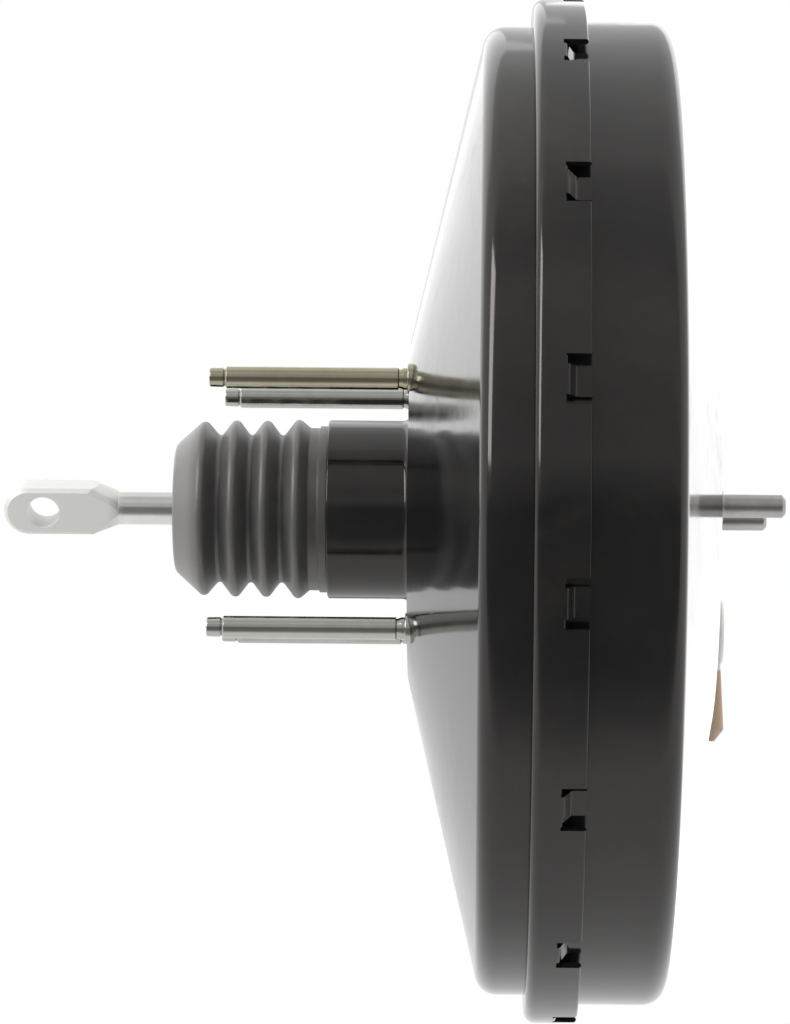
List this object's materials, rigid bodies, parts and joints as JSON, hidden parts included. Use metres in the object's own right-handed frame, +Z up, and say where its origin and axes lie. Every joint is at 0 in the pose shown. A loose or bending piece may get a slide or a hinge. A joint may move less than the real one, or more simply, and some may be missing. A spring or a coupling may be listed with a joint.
{
  "type": "brake booster",
  "caption": "Single-diaphragm vacuum brake booster: black pressed steel shells, lanced rim, stud mounts, bellows boot and input rod.",
  "frame": {"origin": "centre of the firewall mounting flat, on the booster's axis", "axes": "+X along the booster's axis towards the master cylinder, +Z up, +Y towards the side with the check valve"},
  "size_m": [0.2127, 0.2806, 0.2806],
  "materials": {
    "black_paint": "gloss black enamel",
    "zinc_steel": "bright zinc plated",
    "plain_steel": "plain oiled",
    "rubber": "satin moulded",
    "dark_plastic": "moulded",
    "tan_plastic": "moulded",
    "foam": "open foam",
    "felt": "pressed felt"
  },
  "bodies": {
    "housing": {"rear_shell": "black_paint", "front_shell": "black_paint", "firewall_studs": "zinc_steel", "rear_reinforcement": "plain_steel", "master_cylinder_studs": "zinc_steel", "front_reinforcement": "plain_steel", "tail_bearing": "dark_plastic", "tail_seal": "rubber", "seal_retainer": "plain_steel", "dust_boot": "rubber", "check_valve_grommet": "rubber", "check_valve_body": "tan_plastic", "check_valve_spring": "plain_steel", "diaphragm": "rubber", "return_spring": "plain_steel"},
    "check_disc": {"check_valve_disc": "dark_plastic"},
    "power_piston": {"valve_body": "dark_plastic", "diaphragm_plate": "plain_steel", "reaction_disc": "rubber", "output_rod": "zinc_steel", "output_rod_tip": "zinc_steel", "rod_retainer": "plain_steel", "poppet_retainer": "plain_steel", "air_filter": "foam", "air_silencer": "felt"},
    "air_valve": {"air_valve_plunger": "zinc_steel", "stop_key": "plain_steel"},
    "poppet": {"poppet_valve": "rubber", "poppet_washer": "plain_steel", "poppet_spring": "plain_steel"},
    "input_rod": {"input_rod": "zinc_steel", "rod_spring_seat": "plain_steel", "rod_return_spring": "plain_steel"}
  },
  "joints": [
    {"name": "booster_stroke", "type": "slide", "parent": "housing", "child": "power_piston", "axis": [1, 0, 0], "range_m": [0, 0.034], "stiffness_N_per_m": 3400, "springref_m": -0.035, "deforming": ["return_spring", "dust_boot", "diaphragm"]},
    {"name": "valve_lash", "type": "slide", "parent": "power_piston", "child": "air_valve", "axis": [1, 0, 0], "range_m": [0, 0.0012], "stiffness_N_per_m": 4000, "springref_m": -0.004, "deforming": ["rod_return_spring"]},
    {"name": "poppet_follow", "type": "slide", "parent": "power_piston", "child": "poppet", "axis": [1, 0, 0], "range_m": [0, 0.0005], "deforming": ["poppet_spring"]},
    {"name": "rod_tilt", "type": "hinge", "parent": "air_valve", "child": "input_rod", "pos_m": [-0.009, 0, 0], "axis": [0, 1, 0], "range_deg": [-2, 2], "stiffness_Nm_per_rad": 12},
    {"name": "check_disc_lift", "type": "slide", "parent": "housing", "child": "check_disc", "axis": [1, 0, 0], "range_m": [0, 0.001], "stiffness_N_per_m": 200, "springref_m": -0.001, "deforming": ["check_valve_spring"]}
  ],
  "couplings": [
    {"joint": "poppet_follow", "follows": "valve_lash", "ratio": 0.41667}
  ]
}
